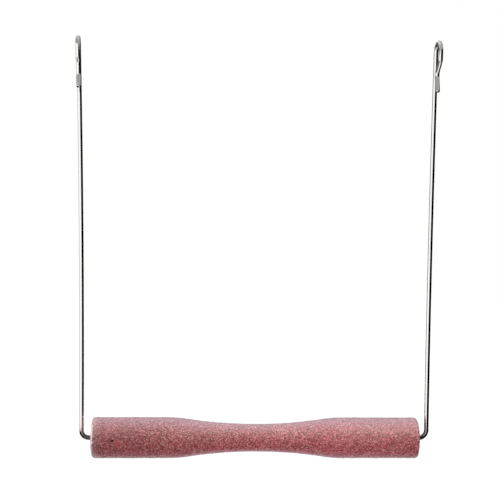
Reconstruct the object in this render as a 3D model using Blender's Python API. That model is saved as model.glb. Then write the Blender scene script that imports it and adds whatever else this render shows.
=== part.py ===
"""Sand perch swing for a bird cage: a contoured perch carried by two sprung wire hangers.

The perch is a turned hardwood core under a coat of bonded sand, thick at both ends and waisted in
the middle. Each hanger is one bent steel wire: a pin in the bore of the perch, an elbow, a stem
that leans and bows out a little, and a hook whose tongue comes down in front of the stem and necks
in, so that the hook snaps over a cage bar.

Frame: +Z up, +X along the perch, tongues towards -Y. The origin is on the hang axis, the line
through the middles of both hooks' arches, halfway between the hooks.
"""

import math

import bmesh
import bpy
from mathutils import Matrix, Vector

MM = 0.001

# Perch, measured over its sand coat
PERCH_LENGTH = 152.4 * MM
END_DIAMETER = 18.8 * MM
WAIST_DIAMETER = 12.7 * MM
WAIST_HALF_LENGTH = 41.0 * MM  # from the middle of the perch to where the full end diameter starts
SHOULDER_RADIUS = 62.0 * MM  # convex arc that runs the taper into the straight end
RIM_RADIUS = 1.1 * MM  # rounded edge of the coat at the end faces

# Sand coat and the glue under it
COAT_THICKNESS = 0.9 * MM
GLUE_LINE = 0.3 * MM
COAT_HOLE_RELIEF = 0.4 * MM  # sand kept back from the mouth of the bore, all round
CORE_CHAMFER = 0.7 * MM

# Wire hangers
WIRE_DIAMETER = 2.1 * MM
WIRE_END_CHAMFER = 0.25 * MM
PIN_DEPTH = 22.0 * MM  # how far the pin reaches in from the end face of the perch
PIN_CLEARANCE = 0.25 * MM  # radial, between pin and bore
BORE_RUNOUT = 3.0 * MM  # bore left empty past the end of the pin
DRILL_POINT_ANGLE = math.radians(118)
STEM_GAP = 4.9 * MM  # from the end face of the perch to the middle of the stem
STEM_LEAN = math.radians(0.95)  # outward, from the foot of the stem to its top
STEM_BOW = math.radians(0.9)  # how much more the stem leans at its top than at its foot
ELBOW_RADIUS = 4.7 * MM  # bend radii are to the middle of the wire
HANG_HEIGHT = 182.0 * MM  # from the axis of the perch up to the hang axis

# Hooks: drops are measured down the stem from the hang axis, reaches forward from the stem
HOOK_REACH = 8.6 * MM
NECK_REACH = 4.8 * MM
TIP_REACH = 6.4 * MM
JOG_TOP_DROP = 5.5 * MM
JOG_FOOT_DROP = 8.8 * MM
FLARE_DROP = 12.8 * MM
TIP_DROP = 19.5 * MM
JOG_RADIUS = 3.0 * MM
FLARE_RADIUS = 5.0 * MM

# Facets
ROUND_STEPS = 40  # round the perch
WAIST_STEPS = 7  # along the waist arc, on each side of the middle
SHOULDER_STEPS = 4
RIM_STEPS = 4
BEND_STEP = math.radians(12)  # along the bends of the wire
LEAST_BEND_STEPS = 2
WIRE_BEVEL_RESOLUTION = 4  # twelve sides round the wire
SHARP_ANGLE = math.radians(30)  # edges past this stay sharp in the shading
SAME_PLACE = 0.001 * MM  # points this close are one point

# The perch hangs behind the hang axis, in the plane of the stems
PERCH_CENTRE = Vector((0.0, HOOK_REACH / 2, -HANG_HEIGHT))

PERCH_COLOUR = (0.46, 0.17, 0.18, 1.0)
WOOD_COLOUR = (0.55, 0.38, 0.22, 1.0)
STEEL_COLOUR = (0.62, 0.61, 0.59, 1.0)


def clear_scene():
    for obj in list(bpy.data.objects):
        bpy.data.objects.remove(obj, do_unlink=True)


def new_material(name, colour, roughness, metallic):
    material = bpy.data.materials.new(name)
    material.use_nodes = True
    shader = material.node_tree.nodes["Principled BSDF"]
    shader.inputs["Base Color"].default_value = colour
    shader.inputs["Roughness"].default_value = roughness
    shader.inputs["Metallic"].default_value = metallic
    return material


def add_object(name, data, location, material, parent=None):
    obj = bpy.data.objects.new(name, data)
    bpy.context.scene.collection.objects.link(obj)
    obj.data.materials.append(material)
    obj.parent = parent
    obj.location = location
    return obj


def perch_radius(x):
    """Radius of the perch at x from its middle: a waist arc and a shoulder arc that meet in line."""
    end = END_DIAMETER / 2
    waist = WAIST_DIAMETER / 2
    along = abs(x)
    if along >= WAIST_HALF_LENGTH:
        return end
    if along <= waist_arc_length():
        return waist + waist_radius() - math.sqrt(waist_radius() ** 2 - along**2)
    to_shoulder = WAIST_HALF_LENGTH - along
    return end - SHOULDER_RADIUS + math.sqrt(SHOULDER_RADIUS**2 - to_shoulder**2)


def taper_angle():
    """Slope where the waist arc meets the shoulder arc."""
    return 2 * math.atan((END_DIAMETER - WAIST_DIAMETER) / 2 / WAIST_HALF_LENGTH)


def waist_radius():
    """Radius of the concave arc, which takes up what the shoulder arc leaves of the taper."""
    return WAIST_HALF_LENGTH / math.sin(taper_angle()) - SHOULDER_RADIUS


def waist_arc_length():
    """Half the length of the waist arc, measured along the perch."""
    return waist_radius() * math.sin(taper_angle())


def contour_stations():
    """Places along the perch, from one end of the taper to the other, at even angles along each arc."""
    waist = [
        waist_radius() * math.sin(taper_angle() * step / WAIST_STEPS)
        for step in range(WAIST_STEPS + 1)
    ]
    shoulder = [
        WAIST_HALF_LENGTH - SHOULDER_RADIUS * math.sin(taper_angle() * (1 - step / SHOULDER_STEPS))
        for step in range(1, SHOULDER_STEPS + 1)
    ]
    half = waist + shoulder
    return [-x for x in reversed(half[1:])] + half


def contour(inset):
    """(x, radius) pairs of the perch's long side, that far inside its finished surface."""
    return [(x, perch_radius(x) - inset) for x in contour_stations()]


def with_both_ends(side, end):
    """A whole profile: the long side, with its right end's points and their mirror image on the left."""
    return [(-x, radius) for x, radius in reversed(end)] + side + end


def turned_mesh(name, profile, closed):
    """A body turned about X from (x, radius) pairs. An open profile starts and ends on the axis."""
    mesh = bmesh.new()
    points = [mesh.verts.new((x, 0.0, radius)) for x, radius in profile]
    pairs = list(zip(points, points[1:]))
    if closed:
        pairs.append((points[-1], points[0]))
    edges = [mesh.edges.new(pair) for pair in pairs]
    bmesh.ops.spin(
        mesh,
        geom=points + edges,
        cent=(0, 0, 0),
        axis=(1, 0, 0),
        angle=2 * math.pi,
        steps=ROUND_STEPS,
        use_merge=True,
    )
    bmesh.ops.remove_doubles(mesh, verts=mesh.verts, dist=SAME_PLACE)
    bmesh.ops.recalc_face_normals(mesh, faces=mesh.faces)
    data = bpy.data.meshes.new(name)
    mesh.to_mesh(data)
    mesh.free()
    data.shade_smooth()
    data.set_sharp_from_angle(angle=SHARP_ANGLE)
    return data


def bore_radius():
    return WIRE_DIAMETER / 2 + PIN_CLEARANCE


def core_half_length():
    return PERCH_LENGTH / 2 - COAT_THICKNESS - GLUE_LINE


def core_mesh():
    """Hardwood core: the perch's contour under coat and glue, with a drilled bore in each end."""
    inset = COAT_THICKNESS + GLUE_LINE
    face = core_half_length()
    bore_foot = PERCH_LENGTH / 2 - PIN_DEPTH - BORE_RUNOUT
    drill_point = bore_foot - bore_radius() / math.tan(DRILL_POINT_ANGLE / 2)
    side = END_DIAMETER / 2 - inset
    end = [
        (face - CORE_CHAMFER, side),
        (face, side - CORE_CHAMFER),
        (face, bore_radius()),
        (bore_foot, bore_radius()),
        (drill_point, 0.0),
    ]
    return turned_mesh("perch_core", with_both_ends(contour(inset), end), closed=False)


def rim_arc(face, side, radius):
    """Rounded edge from the long side of the perch to its end face."""
    angles = [math.pi / 2 * (1 - step / RIM_STEPS) for step in range(RIM_STEPS + 1)]
    return [
        (face - radius + radius * math.cos(angle), side - radius + radius * math.sin(angle))
        for angle in angles
    ]


def coat_mesh():
    """Sand coat: a skin of even thickness over the core and its end faces, open where the pins go in."""
    face = PERCH_LENGTH / 2
    side = END_DIAMETER / 2
    hole = bore_radius() + COAT_HOLE_RELIEF
    outer_end = rim_arc(face, side, RIM_RADIUS) + [(face, hole)]
    inner_face = face - COAT_THICKNESS
    inner_end = [(inner_face, side - COAT_THICKNESS), (inner_face, hole)]
    outer = with_both_ends(contour(0.0), outer_end)
    inner = with_both_ends(contour(COAT_THICKNESS), inner_end)
    return turned_mesh("sand_coat", outer + list(reversed(inner)), closed=True)


def bent_wire(corners, radii):
    """Middle line of a wire bent at each inner corner to its radius, as straight runs and arcs."""
    points = [corners[0]]
    for before, corner, after, radius in zip(corners, corners[1:], corners[2:], radii):
        arriving = (corner - before).normalized()
        leaving = (after - corner).normalized()
        turn = arriving.angle(leaving)
        axis = arriving.cross(leaving).normalized()
        start = corner - arriving * radius * math.tan(turn / 2)
        centre = start + axis.cross(arriving) * radius
        steps = max(LEAST_BEND_STEPS, math.ceil(turn / BEND_STEP))
        for step in range(steps + 1):
            point = centre + Matrix.Rotation(turn * step / steps, 3, axis) @ (start - centre)
            if (point - points[-1]).length > SAME_PLACE:
                points.append(point)
    points.append(corners[-1])
    return points


def leaning(side, lean):
    """Direction up a stem that leans outward by that angle."""
    return Vector((side * math.sin(lean), 0.0, math.cos(lean)))


def hanger_corners(side):
    """Corners of one hanger and its bend radii, from where the pin's axis meets the perch's end face."""
    outward = Vector((side, 0.0, 0.0))
    forward = Vector((0.0, -1.0, 0.0))
    foot_lean = STEM_LEAN - STEM_BOW / 2
    top_lean = STEM_LEAN + STEM_BOW / 2
    up_top = leaning(side, top_lean)
    half_rise = HANG_HEIGHT / 2
    stem_foot = outward * STEM_GAP
    stem_middle = stem_foot + leaning(side, foot_lean) * (half_rise / math.cos(foot_lean))
    hang_point = stem_middle + up_top * (half_rise / math.cos(top_lean))
    bow_radius = (half_rise - 2 * ELBOW_RADIUS) / math.tan(STEM_BOW / 2)
    arch_radius = HOOK_REACH / 2

    def in_hook(drop, reach):
        return hang_point - up_top * drop + forward * reach

    corners_and_radii = [
        (stem_foot, ELBOW_RADIUS),
        (stem_middle, bow_radius),
        (in_hook(-arch_radius, 0.0), arch_radius),
        (in_hook(-arch_radius, HOOK_REACH), arch_radius),
        (in_hook(JOG_TOP_DROP, HOOK_REACH), JOG_RADIUS),
        (in_hook(JOG_FOOT_DROP, NECK_REACH), JOG_RADIUS),
        (in_hook(FLARE_DROP, NECK_REACH), FLARE_RADIUS),
    ]
    pin_end = -outward * PIN_DEPTH
    tip = in_hook(TIP_DROP, TIP_REACH)
    corners = [pin_end] + [corner for corner, _ in corners_and_radii] + [tip]
    return corners, [radius for _, radius in corners_and_radii]


def wire_curve(name, middle_line):
    """Round wire along a line, with both cut ends chamfered."""
    first = (middle_line[1] - middle_line[0]).normalized()
    last = (middle_line[-2] - middle_line[-1]).normalized()
    line = [middle_line[0], middle_line[0] + first * WIRE_END_CHAMFER]
    line += middle_line[1:-1]
    line += [middle_line[-1] + last * WIRE_END_CHAMFER, middle_line[-1]]
    curve = bpy.data.curves.new(name, "CURVE")
    curve.dimensions = "3D"
    curve.bevel_depth = WIRE_DIAMETER / 2
    curve.bevel_resolution = WIRE_BEVEL_RESOLUTION
    curve.use_fill_caps = True
    spline = curve.splines.new("POLY")
    spline.points.add(len(line) - 1)
    end_radius = 1 - WIRE_END_CHAMFER / (WIRE_DIAMETER / 2)
    for point, place in zip(spline.points, line):
        point.co = (*place, 1.0)
        point.radius = 1.0
    spline.points[0].radius = end_radius
    spline.points[-1].radius = end_radius
    return curve


def build_perch():
    """Core and coat on one empty at the middle of the perch, on the axis that the pins share."""
    perch = bpy.data.objects.new("perch", None)
    bpy.context.scene.collection.objects.link(perch)
    perch.location = PERCH_CENTRE
    wood = new_material("turned_hardwood", WOOD_COLOUR, 0.6, 0.0)
    sand = new_material("bonded_sand", PERCH_COLOUR, 0.95, 0.0)
    add_object("perch_core", core_mesh(), (0, 0, 0), wood, perch)
    add_object("sand_coat", coat_mesh(), (0, 0, 0), sand, perch)


def build_hangers():
    """A wire hanger at each end of the perch, with its origin on the pin's axis at the end face."""
    steel = new_material("plated_steel_wire", STEEL_COLOUR, 0.18, 1.0)
    for name, side in (("left_hanger", -1), ("right_hanger", 1)):
        corners, radii = hanger_corners(side)
        curve = wire_curve(name, bent_wire(corners, radii))
        end_face = PERCH_CENTRE + Vector((side * PERCH_LENGTH / 2, 0.0, 0.0))
        add_object(name, curve, end_face, steel)


def main():
    clear_scene()
    build_perch()
    build_hangers()


main()
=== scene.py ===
import math

import bpy
import numpy as np
from mathutils import Matrix, Vector, noise


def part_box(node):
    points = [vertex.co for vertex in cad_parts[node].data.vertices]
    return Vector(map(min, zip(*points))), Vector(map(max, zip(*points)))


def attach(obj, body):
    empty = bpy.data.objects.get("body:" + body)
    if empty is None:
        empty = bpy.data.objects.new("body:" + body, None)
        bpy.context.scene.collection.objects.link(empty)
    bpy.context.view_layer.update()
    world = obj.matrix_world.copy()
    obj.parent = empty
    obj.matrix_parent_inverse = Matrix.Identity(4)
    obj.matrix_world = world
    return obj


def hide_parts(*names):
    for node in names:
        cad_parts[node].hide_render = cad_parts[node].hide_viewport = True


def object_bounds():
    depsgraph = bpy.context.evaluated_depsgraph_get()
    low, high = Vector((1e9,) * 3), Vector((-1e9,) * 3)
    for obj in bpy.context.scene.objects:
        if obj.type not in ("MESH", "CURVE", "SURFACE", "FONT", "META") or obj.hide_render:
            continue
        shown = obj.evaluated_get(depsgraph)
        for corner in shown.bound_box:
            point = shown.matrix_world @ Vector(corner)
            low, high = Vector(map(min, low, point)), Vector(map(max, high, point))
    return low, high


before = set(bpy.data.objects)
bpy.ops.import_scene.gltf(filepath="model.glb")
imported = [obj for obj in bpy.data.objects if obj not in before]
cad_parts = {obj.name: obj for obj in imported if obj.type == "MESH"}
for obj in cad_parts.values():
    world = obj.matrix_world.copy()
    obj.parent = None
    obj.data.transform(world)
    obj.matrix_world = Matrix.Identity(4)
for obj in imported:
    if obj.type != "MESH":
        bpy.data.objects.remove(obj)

CAD_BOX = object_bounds()

# Perch core: a turned beech dowel under the sand, waisted as the perch is, with a bore drilled in each
# end for a hanger's pin. Only a ring of bare end grain shows, deep in the hole round each pin.
MM = 0.001
RING_SPACING = 1.4 * MM
FLECK_LENGTH = 4.0 * MM
FLECK_WIDTH = 0.3 * MM
PORE_DEPTH = 0.05 * MM


def linear(hex_colour):
    """Linear RGBA of an sRGB hex colour."""
    srgb = [int(hex_colour[i : i + 2], 16) / 255 for i in (1, 3, 5)]
    rgb = [c / 12.92 if c <= 0.04045 else ((c + 0.055) / 1.055) ** 2.4 for c in srgb]
    return (*rgb, 1.0)


def add_node(tree, kind, inputs, stops=(), **settings):
    """Adds a node with its settings, gives each input a value or a link, and returns its outputs.

    Stops are the positions and hex colours of a colour ramp.
    """
    node = tree.nodes.new("ShaderNode" + kind)
    for name, value in settings.items():
        setattr(node, name, value)
    for name, value in inputs.items():
        if isinstance(value, bpy.types.NodeSocket):
            tree.links.new(value, node.inputs[name])
        else:
            node.inputs[name].default_value = value
    if stops:
        elements = node.color_ramp.elements
        while len(elements) < len(stops):
            elements.new(1.0)
        for element, (position, colour) in zip(elements, stops):
            element.position = position
            element.color = linear(colour)
    return node.outputs


def empty_material(name):
    """A material that has no nodes yet."""
    material = bpy.data.materials.new(name)
    material.use_nodes = True
    material.node_tree.nodes.clear()
    return material


# Beech, turned and drilled: pale straw, with faint growth rings and short darker flecks along the grain.
beech = empty_material("turned_beech")
tree = beech.node_tree
place = add_node(tree, "TexCoord", {})["Object"]
rings = add_node(
    tree,
    "TexWave",
    # At scale 1 a wave texture repeats after a tenth of pi.
    {"Vector": place, "Scale": math.pi / (10 * RING_SPACING), "Distortion": 2.0},
    wave_type="RINGS",
    rings_direction="X",
)
fleck_scale = (1 / FLECK_LENGTH, 1 / FLECK_WIDTH, 1 / FLECK_WIDTH)
fleck_place = add_node(tree, "Mapping", {"Vector": place, "Scale": fleck_scale})["Vector"]
flecks = add_node(tree, "TexNoise", {"Vector": fleck_place, "Scale": 1.0, "Detail": 3.0})
figure = add_node(tree, "Math", {0: rings["Fac"], 1: flecks["Fac"]}, operation="MULTIPLY")["Value"]
wood_colour = add_node(
    tree, "ValToRGB", {"Fac": figure}, stops=[(0.15, "#D9B98C"), (0.75, "#B48A5A")]
)["Color"]
pores = add_node(tree, "Bump", {"Height": flecks["Fac"], "Distance": PORE_DEPTH, "Strength": 0.6})
wood = add_node(
    tree,
    "BsdfPrincipled",
    {"Base Color": wood_colour, "Roughness": 0.62, "Normal": pores["Normal"]},
)
add_node(tree, "OutputMaterial", {"Surface": wood["BSDF"]})
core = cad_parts["perch_core"]
core.data.materials.clear()
core.data.materials.append(beech)

# Sand coat: fine rose-dyed sand rolled onto wet glue, a few grains thick, over the perch and its ends.
# It is one shell, gritty outside and smooth against the glue, and open where the pins go in.
# Near its left end a chip has left a small pit and a bare patch, and the left rim is painted paler, as
# light from the left falls on it.
coat_low, coat_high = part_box("sand_coat")
PERCH_AXIS = (coat_low + coat_high) / 2
HALF_LENGTH = coat_high.x
END_RADIUS = (coat_high.z - coat_low.z) / 2
WAIST_RADIUS = 6.35 * MM
WAIST_HALF_LENGTH = 41.0 * MM
SHOULDER_RADIUS = 62.0 * MM
LEFT_RIM_RADIUS = 1.7 * MM
RIGHT_RIM_RADIUS = 0.8 * MM
COAT_THICKNESS = 0.9 * MM
HOLE_RADIUS = 1.7 * MM
MESH_STEP = 0.34 * MM
STEPS_ROUND = 178
SIDE_ROWS = 400
RIM_ROWS = 24
INNER_ROWS = 24
LUMP_SIZE = 0.8 * MM  # a clump of a few grains
LUMP_RISE = 0.3 * MM
LUMP_STEEPNESS = 1.6
LUMP_MEAN = 0.6  # share of the rise that lies under the even coat
SWELL_SIZE = 9.0 * MM
SWELL_RISE = 0.07 * MM
PIT_PLACE = Vector((-66.3 * MM, PERCH_AXIS.y - END_RADIUS, PERCH_AXIS.z))
PIT_RADIUS = 0.9 * MM
PIT_DEPTH = 0.5 * MM
PIT_FLOOR = 0.4  # share of the depth below which the glue is bare
BARE_PLACE = PIT_PLACE + Vector((2.2 * MM, 0, -1.0 * MM))
BARE_RADIUS = 1.7 * MM
BARE_SHARE = 0.8  # share of the grains that are gone there
# the grains near the left rim are painted paler over this width, as light from the left
PAINTED_RIM_LIGHT_WIDTH = 4.0 * MM
GRAIN_SIZE = 0.4 * MM  # a little coarser than the real sand, so that the grains show
GRAIN_RISE = 0.15 * MM
MOTTLE_SIZE = 6.0 * MM


def perch_radius(along):
    """Radius of the perch at distances from its middle: waist arc, shoulder arc, straight end."""
    taper = 2 * math.atan((END_RADIUS - WAIST_RADIUS) / WAIST_HALF_LENGTH)
    waist_arc = WAIST_HALF_LENGTH / math.sin(taper) - SHOULDER_RADIUS
    x = np.abs(along)
    waist = WAIST_RADIUS + waist_arc - np.sqrt(waist_arc**2 - np.minimum(x, waist_arc) ** 2)
    to_end = np.clip(WAIST_HALF_LENGTH - x, 0, SHOULDER_RADIUS)
    shoulder = END_RADIUS - SHOULDER_RADIUS + np.sqrt(SHOULDER_RADIUS**2 - to_end**2)
    return np.where(x < waist_arc * math.sin(taper), waist, shoulder)


def outside_rows():
    """(along, radius) of the coat's outside at even steps, from the left hole to the right hole."""
    turn = np.linspace(0, math.pi / 2, RIM_ROWS)
    in_from_end = 1 - np.sin(turn)
    in_from_side = 1 - np.cos(turn)
    left_rim = (-HALF_LENGTH + LEFT_RIM_RADIUS * in_from_end)[::-1]
    right_rim = HALF_LENGTH - RIGHT_RIM_RADIUS * in_from_end
    side = np.linspace(left_rim[-1], right_rim[0], SIDE_ROWS)[1:-1]
    along = np.concatenate([[-HALF_LENGTH], left_rim, side, right_rim, [HALF_LENGTH]])
    left_radius = (END_RADIUS - LEFT_RIM_RADIUS * in_from_side)[::-1]
    right_radius = END_RADIUS - RIGHT_RIM_RADIUS * in_from_side
    radius = np.concatenate(
        [[HOLE_RADIUS], left_radius, perch_radius(side), right_radius, [HOLE_RADIUS]]
    )
    run = np.concatenate([[0], np.cumsum(np.hypot(np.diff(along), np.diff(radius)))])
    even = np.linspace(0, run[-1], round(run[-1] / MESH_STEP))
    return np.interp(even, run, along), np.interp(even, run, radius)


def inside_rows():
    """(along, radius) of the coat's smooth inside, from the right hole back to the left hole."""
    face = HALF_LENGTH - COAT_THICKNESS
    along = np.linspace(face, -face, INNER_ROWS)
    radius = perch_radius(along) - COAT_THICKNESS
    return np.pad(along, 1, "edge"), np.pad(radius, 1, constant_values=HOLE_RADIUS)


def turned(along, radius):
    """A ring of vectors round the X axis for each row, starting at the front."""
    turn = np.arange(STEPS_ROUND) * 2 * math.pi / STEPS_ROUND
    ring = np.stack([np.zeros(STEPS_ROUND), -np.cos(turn), np.sin(turn)], axis=-1)
    vectors = radius[:, None, None] * ring
    vectors[..., 0] = along[:, None]
    return vectors


def grit(point):
    """How far the sand stands off the even coat: lumps of grains on a slow swell."""
    to_lump = noise.voronoi(point / LUMP_SIZE)[0][0]
    lump = max(0.0, 1 - LUMP_STEEPNESS * to_lump * to_lump) - LUMP_MEAN
    return LUMP_RISE * lump + SWELL_RISE * noise.noise(point / SWELL_SIZE)


def coat_mesh():
    """The coat as rings of points, down its outside and back along its inside."""
    along, radius = outside_rows()
    run = np.hypot(np.gradient(along), np.gradient(radius))
    outward = turned(-np.gradient(radius) / run, np.gradient(along) / run)
    outside = turned(along, radius) + np.array(PERCH_AXIS)
    to_pit = np.linalg.norm(outside - np.array(PIT_PLACE), axis=2) / PIT_RADIUS
    pit = np.exp(-2 * to_pit**2)
    to_bare = np.linalg.norm(outside - np.array(BARE_PLACE), axis=2) / BARE_RADIUS
    bare = BARE_SHARE * np.exp(-(to_bare**4))
    to_left_rim = np.hypot(along + HALF_LENGTH, END_RADIUS - radius)
    # painted light: paler towards the left rim
    painted_rim_light = np.broadcast_to(np.clip(1 - to_left_rim / PAINTED_RIM_LIGHT_WIDTH, 0, 1)[:, None], pit.shape)
    lift = np.apply_along_axis(lambda point: grit(Vector(point)), 2, outside)
    lift *= radius[:, None] / END_RADIUS * (1 - bare)
    lift -= PIT_DEPTH * pit
    lift[[0, -1]] = 0
    inside = turned(*inside_rows()) + np.array(PERCH_AXIS)
    points = np.concatenate([outside + lift[..., None] * outward, inside])
    here = np.arange(points.shape[0] * STEPS_ROUND).reshape(-1, STEPS_ROUND)
    beside = np.roll(here, -1, axis=1)
    quads = np.stack([here, beside, np.roll(beside, -1, axis=0), np.roll(here, -1, axis=0)], axis=-1)
    mesh = bpy.data.meshes.new("gritty_coat")
    mesh.from_pydata(points.reshape(-1, 3).tolist(), [], quads.reshape(-1, 4).tolist())
    mesh.shade_smooth()
    for name, values in (("pit", pit), ("bare", bare), ("painted_rim_light", painted_rim_light)):
        values = np.pad(values.ravel(), (0, inside[..., 0].size))
        mesh.attributes.new(name, "FLOAT", "POINT").data.foreach_set("value", values)
    # faces deep in the pit get the dark glue, which also paints the pit's shade
    on_glue_and_shade = np.pad(pit.ravel() > PIT_FLOOR, (0, inside[..., 0].size))
    mesh.polygons.foreach_set("material_index", on_glue_and_shade.astype(np.int32))
    return mesh


# Bonded sand, dyed rose: matt and dusty, each grain its own shade, with darker glue and painted shade
# between the grains. Painted shade darkens it into the pit, it has one even shade on the bare patch, and
# its grains are painted paler along the left rim, as light from the left.
sand = empty_material("bonded_rose_sand")
tree = sand.node_tree
place = add_node(tree, "TexCoord", {})["Object"]
grains = add_node(tree, "TexVoronoi", {"Vector": place, "Scale": 1 / GRAIN_SIZE})
shade = add_node(tree, "SeparateColor", {"Color": grains["Color"]})["Red"]
grain_colour = add_node(
    tree,
    "ValToRGB",
    {"Fac": shade},
    stops=[(0.0, "#600E17"), (0.4, "#B33E49"), (0.75, "#D66A6E"), (1.0, "#F8B4B2")],
)["Color"]
# Darker between the grains: dark glue, and painted shade in the gaps.
between = add_node(
    tree,
    "MapRange",
    {"Value": grains["Distance"], "From Min": 0.25, "From Max": 0.8, "To Min": 1.0, "To Max": 0.65},
)["Result"]
patches = add_node(tree, "TexNoise", {"Vector": place, "Scale": 1 / MOTTLE_SIZE, "Detail": 3.0})
mottle = add_node(
    tree,
    "MapRange",
    {"Value": patches["Fac"], "From Min": 0.3, "From Max": 0.7, "To Min": 0.92, "To Max": 1.08},
)["Result"]
in_pit = add_node(tree, "Attribute", {}, attribute_name="pit")["Fac"]
# Painted shade: the sand darkens into the pit.
painted_pit_shade = add_node(tree, "MapRange", {"Value": in_pit, "To Min": 1.0, "To Max": 0.1})["Result"]
dimming = add_node(tree, "Math", {0: between, 1: mottle}, operation="MULTIPLY")["Value"]
dimming = add_node(tree, "Math", {0: dimming, 1: painted_pit_shade}, operation="MULTIPLY")["Value"]
grain_shades = add_node(
    tree, "VectorMath", {0: grain_colour, "Scale": dimming}, operation="SCALE"
)["Vector"]
bare = add_node(tree, "Attribute", {}, attribute_name="bare")["Fac"]
sand_colour = add_node(
    tree,
    "MixRGB",
    {"Fac": bare, "Color1": grain_shades, "Color2": linear("#BB4A56")},
)["Color"]
# Painted light: grains near the left rim are mixed towards pale pink, as if lit from the left.
painted_rim_light = add_node(tree, "Attribute", {}, attribute_name="painted_rim_light")["Fac"]
painted_rim_light_grains = add_node(tree, "Math", {0: painted_rim_light, 1: shade}, operation="MULTIPLY")["Value"]
sand_colour = add_node(
    tree,
    "MixRGB",
    {"Fac": painted_rim_light_grains, "Color1": sand_colour, "Color2": linear("#F8D0CC")},
)["Color"]
grain_tops = add_node(
    tree,
    "Bump",
    {"Height": grains["Distance"], "Distance": GRAIN_RISE, "Strength": 0.25},
    invert=True,
)["Normal"]
dusty = add_node(
    tree,
    "BsdfPrincipled",
    {
        "Base Color": sand_colour,
        "Roughness": 0.7,
        "Specular IOR Level": 0.3,
        "Specular Tint": linear("#FFF0EC"),
        "Sheen Weight": 1.0,
        "Sheen Roughness": 0.45,
        "Sheen Tint": linear("#F0EAFF"),
        "Normal": grain_tops,
    },
)
add_node(tree, "OutputMaterial", {"Surface": dusty["BSDF"]})

# Dried glue, bare at the bottom of the pit: dull, with no dusty grains on it, and painted dark as the
# shade in the pit.
glue = empty_material("dried_glue_and_pit_shade")
tree = glue.node_tree
place = add_node(tree, "TexCoord", {})["Object"]
skin = add_node(tree, "TexNoise", {"Vector": place, "Scale": 1 / GRAIN_SIZE, "Detail": 3.0})["Fac"]
glue_and_shade_colour = add_node(
    tree, "ValToRGB", {"Fac": skin}, stops=[(0.3, "#38060C"), (0.7, "#561018")]
)["Color"]
dull = add_node(
    tree,
    "BsdfPrincipled",
    {"Base Color": glue_and_shade_colour, "Roughness": 0.6, "Specular IOR Level": 0.1},
)
add_node(tree, "OutputMaterial", {"Surface": dull["BSDF"]})
coat = bpy.data.objects.new("gritty_coat", coat_mesh())
bpy.context.scene.collection.objects.link(coat)
coat.data.materials.append(sand)
coat.data.materials.append(glue)
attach(coat, "perch")
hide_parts("sand_coat")

# Hangers: each is one length of bright plated spring wire, bent cold into a pin that turns in the perch,
# an elbow, a stem that leans and bows out, and a hook whose tongue necks in and then flares at its tip.
# The bends are made one by one on a jig, so the two differ a little. The wire is darker on the pins.
WIRE_RADIUS = 1.05 * MM
PIN_DEPTH = 22.0 * MM
STEM_GAP = 4.9 * MM
STEM_LEAN = math.radians(0.95)
HOOK_REACH = 2 * PERCH_AXIS.y
JOG_RADIUS = 2.4 * MM
FLARE_RADIUS = 4.0 * MM
BEND_STEP = math.radians(4)
LEAST_BEND_STEPS = 8
LEAST_POINT_GAP = 0.001 * MM
CUT_ROUND = 0.4 * MM
CUT_STEPS = 5
ROUND_RESOLUTION = 10  # twenty-four sides round the wire
STREAK_LENGTH = 25.0 * MM
STREAK_WIDTH = 0.3 * MM  # broader than real draw marks, so that they show
# the wire's colour darkens from this height down to the next
DARKENING_TOP = PERCH_AXIS.z + 5.0 * MM
DARKEST_HEIGHT = PERCH_AXIS.z + 0.5 * MM


def bent_wire(corners, radii):
    """Middle line of a wire bent at each inner corner to its radius, as straight runs and arcs."""
    points = [corners[0]]
    for before, corner, after, radius in zip(corners, corners[1:], corners[2:], radii):
        arriving = (corner - before).normalized()
        leaving = (after - corner).normalized()
        turn = arriving.angle(leaving)
        axis = arriving.cross(leaving).normalized()
        start = corner - arriving * radius * math.tan(turn / 2)
        centre = start + axis.cross(arriving) * radius
        steps = max(LEAST_BEND_STEPS, math.ceil(turn / BEND_STEP))
        for step in range(steps + 1):
            point = centre + Matrix.Rotation(turn * step / steps, 3, axis) @ (start - centre)
            if (point - points[-1]).length > LEAST_POINT_GAP:
                points.append(point)
    return points + [corners[-1]]


def hanger_line(side, elbow, bow, lift, twist, jog_top, jog_foot, neck, flare, tip):
    """Middle line of one hanger, from the inner end of its pin to the tip of its tongue.

    Elbow is its radius, bow is how much more the stem leans at its top than at its foot, lift makes the
    stem longer, and twist turns the hook about it. The tongue's bends are given by their drops from the
    hang axis, its neck by its reach from the stem, and its tip by both.
    """
    outward = Vector((side, 0, 0))
    forward = Vector((math.sin(twist), -math.cos(twist), 0))
    rise = -PERCH_AXIS.z / 2
    leans = STEM_LEAN - bow / 2, STEM_LEAN + bow / 2
    foot_up, top_up = [Vector((side * math.sin(lean), 0, math.cos(lean))) for lean in leans]
    end_face = PERCH_AXIS + outward * HALF_LENGTH
    foot = end_face + outward * STEM_GAP
    middle = foot + foot_up * rise / foot_up.z
    hang_point = middle + top_up * (rise + lift) / top_up.z
    bow_radius = (rise - 2 * elbow) / math.tan(bow / 2)
    arch = HOOK_REACH / 2
    in_hook = [
        (-arch, 0.0),
        (-arch, HOOK_REACH),
        (jog_top, HOOK_REACH),
        (jog_foot, neck),
        (flare, neck),
        tip,
    ]
    corners = [end_face - outward * PIN_DEPTH, foot, middle]
    corners += [hang_point - top_up * drop + forward * reach for drop, reach in in_hook]
    radii = [elbow, bow_radius, arch, arch, JOG_RADIUS, JOG_RADIUS, FLARE_RADIUS]
    return bent_wire(corners, radii)


def cut_end(tip, inward):
    """(place, size) steps over a tumbled cut end of the wire, from its flat face to its full size."""
    turns = [math.pi / 2 * step / CUT_STEPS for step in range(CUT_STEPS + 1)]
    return [
        (
            tip + inward * CUT_ROUND * (1 - math.cos(turn)),
            1 - CUT_ROUND / WIRE_RADIUS * (1 - math.sin(turn)),
        )
        for turn in turns
    ]


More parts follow.
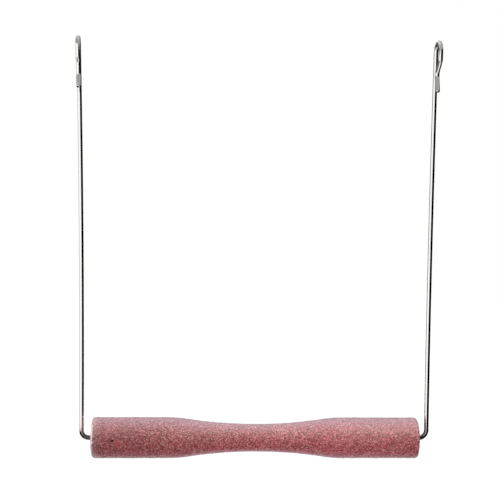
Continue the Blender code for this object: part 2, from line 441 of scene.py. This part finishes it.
def wire_curve(name, line):
    """Round wire along a line."""
    first = cut_end(line[0], (line[1] - line[0]).normalized())
    last = cut_end(line[-1], (line[-2] - line[-1]).normalized())
    steps = first + [(point, 1.0) for point in line[1:-1]] + last[::-1]
    curve = bpy.data.curves.new(name, "CURVE")
    curve.dimensions = "3D"
    curve.bevel_depth = WIRE_RADIUS
    curve.bevel_resolution = ROUND_RESOLUTION
    curve.use_fill_caps = True
    spline = curve.splines.new("POLY")
    spline.points.add(len(steps) - 1)
    for point, (place, size) in zip(spline.points, steps):
        point.co = (*place, 1.0)
        point.radius = size
    return curve


# Bright plated steel, drawn and polished: near mirror, a little duller in streaks along the wire, and
# darker low down, at the pins in the perch.
plate = empty_material("bright_plated_steel")
tree = plate.node_tree
place = add_node(tree, "TexCoord", {})["Object"]
streak_scale = (1 / STREAK_WIDTH, 1 / STREAK_WIDTH, 1 / STREAK_LENGTH)
streak_place = add_node(tree, "Mapping", {"Vector": place, "Scale": streak_scale})["Vector"]
streaks = add_node(tree, "TexNoise", {"Vector": streak_place, "Scale": 1.0, "Detail": 2.0})["Fac"]
dulling = add_node(
    tree,
    "MapRange",
    {"Value": streaks, "From Min": 0.3, "From Max": 0.7, "To Min": 0.06, "To Max": 0.14},
)["Result"]
height = add_node(tree, "SeparateXYZ", {"Vector": place})["Z"]
# Darker on the pins and just above them, fading out up the stems.
low_darkening = add_node(
    tree, "MapRange", {"Value": height, "From Min": DARKENING_TOP, "From Max": DARKEST_HEIGHT}
)["Result"]
plate_colour = add_node(
    tree, "ValToRGB", {"Fac": low_darkening}, stops=[(0.0, "#E3E1DD"), (1.0, "#4C4644")]
)["Color"]
bright = add_node(
    tree,
    "BsdfPrincipled",
    {"Base Color": plate_colour, "Metallic": 1.0, "Roughness": dulling},
)
add_node(tree, "OutputMaterial", {"Surface": bright["BSDF"]})
left_line = hanger_line(
    side=-1,
    elbow=3.3 * MM,
    bow=math.radians(1.3),
    lift=-0.55 * MM,
    twist=math.radians(4.0),
    jog_top=5.2 * MM,
    jog_foot=7.7 * MM,
    neck=6.8 * MM,
    flare=13.6 * MM,
    tip=(19.4 * MM, 8.6 * MM),
)
right_line = hanger_line(
    side=1,
    elbow=3.7 * MM,
    bow=math.radians(0.9),
    lift=0.0,
    twist=math.radians(2.0),
    jog_top=4.7 * MM,
    jog_foot=9.4 * MM,
    neck=3.4 * MM,
    flare=11.7 * MM,
    tip=(18.9 * MM, 5.2 * MM),
)
for name, line in (("left_hanger", left_line), ("right_hanger", right_line)):
    wire = bpy.data.objects.new(name + "_wire", wire_curve(name + "_wire", line))
    bpy.context.scene.collection.objects.link(wire)
    wire.data.materials.append(plate)
    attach(wire, name)
    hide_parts(name)

# Studio: the swing hangs over a white paper floor in an even white surround, with a soft key lamp at its
# left and above. Cards and cloths that only reflections show give the wire its black and white sides.
# The other lamps light the sand alone, and those named shine add only to its gloss.
FLOOR_DROP = 0.22
FLOOR_HALF_SIZE = 6.0
FLOOR_GLOW = 0.67
AMBIENT = 0.2
CLOTH_HEIGHT = 0.01
CLOTH_NEAR = 0.22
CLOTH_FAR = 0.9
BACK_CLOTH_FRONT = 0.05
CARD_COLUMNS = 24
CARD_ROWS = 12
SUN_DISTANCE = 2.0
CAMERA_SPIN = math.radians(-2.7)
floor_z = CAD_BOX[0][2] - FLOOR_DROP
cloth_z = floor_z + CLOTH_HEIGHT


def seen_directly(tree):
    """1 for rays from the camera and through or off clear and shiny surfaces, 0 for diffuse light."""
    path = add_node(tree, "LightPath", {})
    seen = add_node(
        tree, "Math", {0: path["Is Camera Ray"], 1: path["Is Glossy Ray"]}, operation="ADD"
    )["Value"]
    return add_node(
        tree,
        "Math",
        {0: seen, 1: path["Is Transmission Ray"]},
        operation="ADD",
        use_clamp=True,
    )["Value"]


def from_swing(azimuth, elevation, distance):
    """A point seen from the swing's middle. Azimuth 0 is towards the camera, and grows to its right."""
    turn = math.radians(azimuth) + CAMERA_SPIN
    rise = math.radians(elevation)
    level = Vector((math.sin(turn), -math.cos(turn), 0)) * math.cos(rise)
    middle = Vector((0, PERCH_AXIS.y, PERCH_AXIS.z / 2))
    return middle + (level + Vector((0, 0, math.sin(rise)))) * distance


def flat_sheet(left, right, front, back, height):
    """Points and face of a level rectangle."""
    corners = [(left, front), (right, front), (right, back), (left, back)]
    return [(x, y, height) for x, y in corners], [(0, 1, 2, 3)]


def curved_sheet(distance, azimuths, elevations):
    """Points and faces of a part of a sphere round the swing."""
    across = np.linspace(*azimuths, CARD_COLUMNS + 1)
    upward = np.linspace(*elevations, CARD_ROWS + 1)
    points = [from_swing(azimuth, elevation, distance) for elevation in upward for azimuth in across]
    here = np.arange(len(points)).reshape(CARD_ROWS + 1, CARD_COLUMNS + 1)
    quads = np.stack([here[:-1, :-1], here[:-1, 1:], here[1:, 1:], here[1:, :-1]], axis=-1)
    return points, quads.reshape(-1, 4).tolist()


def backdrop(name, points, faces, material):
    """A sheet of the studio, which isn't part of the swing."""
    mesh = bpy.data.meshes.new(name)
    mesh.from_pydata(points, [], faces)
    mesh.materials.append(material)
    sheet = bpy.data.objects.new(name, mesh)
    bpy.context.scene.collection.objects.link(sheet)
    return sheet


def reflection_card(name, points, faces, strength):
    """A card that only shiny surfaces see."""
    paint = empty_material(name)
    glow = add_node(paint.node_tree, "Emission", {"Strength": strength})["Emission"]
    add_node(paint.node_tree, "OutputMaterial", {"Surface": glow})
    card = backdrop(name, points, faces, paint)
    card.visible_camera = False
    card.visible_diffuse = False
    card.visible_transmission = False
    card.visible_shadow = False


def lamp(name, kind, place, size, strength):
    """A lamp aimed at the perch."""
    light = bpy.data.lights.new(name, kind)
    light.energy = strength
    if kind == "SUN":
        light.angle = size
    else:
        light.shape = "DISK"
        light.size = size
    holder = bpy.data.objects.new(name, light)
    bpy.context.scene.collection.objects.link(holder)
    holder.location = place
    holder.rotation_euler = (place - PERCH_AXIS).to_track_quat("Z", "Y").to_euler()
    return holder


# White paper: matt, and lifted to white where it is seen, so that it keeps only the swing's shadow.
paper = empty_material("white_paper")
tree = paper.node_tree
lift = add_node(tree, "Math", {0: seen_directly(tree), 1: FLOOR_GLOW}, operation="MULTIPLY")["Value"]
matt = add_node(tree, "BsdfDiffuse", {"Color": linear("#D8D8D8")})["BSDF"]
glow = add_node(tree, "Emission", {"Strength": lift})["Emission"]
lit = add_node(tree, "AddShader", {0: matt, 1: glow})["Shader"]
add_node(tree, "OutputMaterial", {"Surface": lit})
floor_edges = (-FLOOR_HALF_SIZE, FLOOR_HALF_SIZE)
floor = backdrop("floor", *flat_sheet(*floor_edges, *floor_edges, floor_z), paper)

# White surround: full white where it is seen, dimmer as light, so that the sand keeps its shaded side.
world = bpy.data.worlds.new("white_surround")
world.use_nodes = True
tree = world.node_tree
tree.nodes.clear()
level = add_node(
    tree,
    "Math",
    {0: seen_directly(tree), 1: 1 - AMBIENT, 2: AMBIENT},
    operation="MULTIPLY_ADD",
)["Value"]
surround = add_node(tree, "Background", {"Color": linear("#FFFFFF"), "Strength": level})
add_node(tree, "OutputWorld", {"Surface": surround["Background"]})
bpy.context.scene.world = world

# Each curved card is given by its distance, its azimuths, its elevations and how bright it is.
reflection_card("dark_card", *curved_sheet(0.56, (-110, 178), (-21, 24)), strength=0.0)
reflection_card("grey_ceiling", *curved_sheet(0.56, (-110, 178), (24, 65)), strength=0.45)
reflection_card("pale_ceiling", *curved_sheet(0.56, (-180, 180), (65, 90)), strength=0.7)
right_cloth = flat_sheet(CLOTH_NEAR, CLOTH_FAR, -CLOTH_FAR, CLOTH_FAR, cloth_z)
left_cloth = flat_sheet(-CLOTH_FAR, -CLOTH_NEAR, -CLOTH_FAR, CLOTH_FAR, cloth_z)
back_cloth = flat_sheet(-CLOTH_NEAR, CLOTH_NEAR, BACK_CLOTH_FRONT, CLOTH_FAR, cloth_z)
reflection_card("right_cloth", *right_cloth, strength=0.0)
reflection_card("left_cloth", *left_cloth, strength=0.0)
reflection_card("back_cloth", *back_cloth, strength=0.0)
reflection_card("white_card", *curved_sheet(0.5, (-104, 8), (-20, 25)), strength=1.25)
reflection_card("grey_card", *curved_sheet(0.54, (-185, -104), (-20, 30)), strength=0.15)

# Each lamp is given by its place, how wide it is, as an angle or in metres, and its strength.
key_lamp = lamp("key_lamp", "SUN", from_swing(-70, 45, SUN_DISTANCE), math.radians(20), 1.55)
back_lamp = lamp("back_lamp", "SUN", from_swing(165, 0, SUN_DISTANCE), math.radians(40), 1.0)
left_shine = lamp("left_shine", "SUN", from_swing(-100, 5, SUN_DISTANCE), math.radians(20), 30.0)
near_lamp = lamp("near_lamp", "AREA", Vector((0.033, -0.1, -0.2)), 0.06, 0.043)
front_shine = lamp("front_shine", "AREA", Vector((0.165, -0.2, 0.19)), 0.2, 14.5)
back_shine = lamp("back_shine", "SUN", from_swing(180, 60, SUN_DISTANCE), math.radians(25), 11.0)
under_shine = lamp("under_shine", "SUN", from_swing(180, -50, SUN_DISTANCE), math.radians(25), 1.8)
back_shine.data.color = linear("#F2F0FF")[:3]
under_shine.data.color = linear("#FFF0E0")[:3]
under_shine.data.use_shadow = False  # it shines from under the floor
sand_and_floor = bpy.data.collections.new("sand_and_floor")
sand_and_floor.objects.link(coat)
sand_and_floor.objects.link(floor)
key_lamp.light_linking.receiver_collection = sand_and_floor
only_sand = bpy.data.collections.new("only_sand")
only_sand.objects.link(coat)
for sand_lamp in (near_lamp, back_lamp, left_shine, front_shine, back_shine, under_shine):
    sand_lamp.light_linking.receiver_collection = only_sand
for shine in (left_shine, front_shine, back_shine, under_shine):
    shine.visible_diffuse = False

# Camera: level with the middle of the swing and a little to its left, close in front of it, with a short
# telephoto lens. It is rolled by half a degree, so that the perch lies in the frame as in the photo.
CAMERA_DISTANCE = 468.0 * MM
CAMERA_TARGET = Vector((-3.3 * MM, PERCH_AXIS.y, -93.8 * MM))
CAMERA_ROLL = math.radians(0.55)
LENS_MM = 71.7
SENSOR_MM = 36.0
view = Vector((-math.sin(CAMERA_SPIN), math.cos(CAMERA_SPIN), 0))
level_right = Vector((math.cos(CAMERA_SPIN), math.sin(CAMERA_SPIN), 0))
right = level_right * math.cos(CAMERA_ROLL) + Vector((0, 0, math.sin(CAMERA_ROLL)))
camera_data = bpy.data.cameras.new("camera")
camera_data.lens = LENS_MM
camera_data.sensor_width = SENSOR_MM
camera_data.clip_start = 10 * MM
camera = bpy.data.objects.new("camera", camera_data)
bpy.context.scene.collection.objects.link(camera)
axes = Matrix((right, right.cross(view), -view)).transposed().to_4x4()
camera.matrix_world = Matrix.Translation(CAMERA_TARGET - view * CAMERA_DISTANCE) @ axes
bpy.context.scene.camera = camera
bpy.context.scene.view_settings.view_transform = "Standard"
